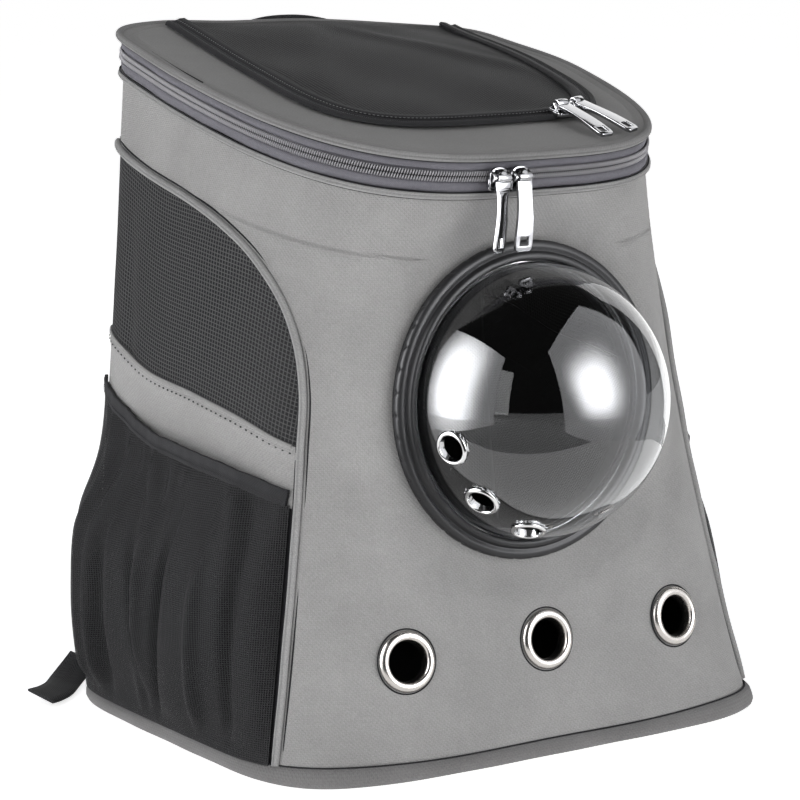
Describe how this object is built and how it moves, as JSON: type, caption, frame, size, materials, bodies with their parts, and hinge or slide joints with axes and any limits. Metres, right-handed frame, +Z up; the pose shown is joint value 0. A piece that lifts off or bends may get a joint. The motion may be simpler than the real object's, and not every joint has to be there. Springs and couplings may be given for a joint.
{
  "type": "pet carrier backpack",
  "caption": "Soft pet carrier backpack with a clear dome window, net side windows and pockets, round air eyelets and a sloping zipped lid with a net flap.",
  "frame": {"origin": "centre of the overall box, on the floor the bag stands on", "axes": "+Z up; -Y is the front with the dome window; X is across the bag, -X the bag's side at the left when it is seen from the front"},
  "size_m": [0.4268, 0.3924, 0.422],
  "materials": {
    "front_cloth": "woven grey cloth, matt",
    "side_cloth": "woven light grey cloth, matt",
    "base_cloth": "woven grey cloth, matt",
    "back_cloth": "black padded cloth, matt",
    "window_net": "black air net, matt",
    "pocket_net": "fine black stretch net, matt",
    "piping": "grey cloth over cord, matt",
    "zip_tape": "grey-violet woven tape with a nylon coil",
    "black_tape": "black elastic and zip tape, matt",
    "strap_pad": "black padded cloth, matt",
    "webbing": "black ribbed webbing",
    "black_plastic": "moulded, satin",
    "clear_plastic": "clear moulded plastic, polished",
    "nickel": "satin nickel plate",
    "pull_metal": "bright plate"
  },
  "bodies": {
    "bag": {"front_panel": "front_cloth", "back_panel": "back_cloth", "side_window_left": "window_net", "side_window_right": "window_net", "side_band_left": "side_cloth", "side_band_right": "side_cloth", "side_lower_left": "side_cloth", "side_lower_right": "side_cloth", "seam_piping_left": "piping", "seam_piping_right": "piping", "base_panel": "base_cloth", "base_binding": "base_cloth", "hem_piping": "piping", "zip_band": "zip_tape", "lid_piping": "piping", "lid_panel": "front_cloth", "flap_zip": "black_tape", "lid_flap": "window_net", "pocket_left": "pocket_net", "pocket_right": "pocket_net", "pocket_binding_left": "black_tape", "pocket_binding_right": "black_tape", "dome_collar": "black_plastic", "eyelet_1": "nickel", "eyelet_2": "nickel", "eyelet_3": "nickel", "slider_front_1": "pull_metal", "slider_front_2": "pull_metal", "slider_lid_1": "pull_metal", "slider_lid_2": "pull_metal", "shoulder_strap_left": "strap_pad", "shoulder_strap_right": "strap_pad", "strap_webbing_left": "webbing", "strap_webbing_right": "webbing", "strap_tail_left": "webbing", "strap_tail_right": "webbing", "grab_handle": "webbing"},
    "dome_unit": {"dome_ring": "black_plastic", "dome_bubble": "clear_plastic", "dome_vent_1": "nickel", "dome_vent_2": "nickel", "dome_vent_3": "nickel"},
    "pull_front_1": {"tab_front_1": "pull_metal"},
    "pull_front_2": {"tab_front_2": "pull_metal"},
    "pull_lid_1": {"tab_lid_1": "pull_metal"},
    "pull_lid_2": {"tab_lid_2": "pull_metal"}
  },
  "joints": [
    {"name": "dome_turn", "type": "hinge", "parent": "bag", "child": "dome_unit", "pos_m": [-0.0045, -0.10634, 0.2088], "axis": [0, -0.9981, 0.061], "range_deg": [0, 40]},
    {"name": "pull_front_1_swing", "type": "hinge", "parent": "bag", "child": "pull_front_1", "pos_m": [-0.0335, -0.12524, 0.3432], "axis": [-0.9988, 0, 0.0499], "range_deg": [0, 165]},
    {"name": "pull_front_2_swing", "type": "hinge", "parent": "bag", "child": "pull_front_2", "pos_m": [-0.0185, -0.12524, 0.3432], "axis": [-0.9998, 0, -0.02], "range_deg": [0, 165]},
    {"name": "pull_lid_1_swing", "type": "hinge", "parent": "bag", "child": "pull_lid_1", "pos_m": [0.052, -0.06584, 0.37787], "axis": [-0.9931, -0.114, -0.0262], "range_deg": [0, 150]},
    {"name": "pull_lid_2_swing", "type": "hinge", "parent": "bag", "child": "pull_lid_2", "pos_m": [0.066, -0.06284, 0.37856], "axis": [-0.936, -0.343, -0.0789], "range_deg": [0, 100]}
  ]
}
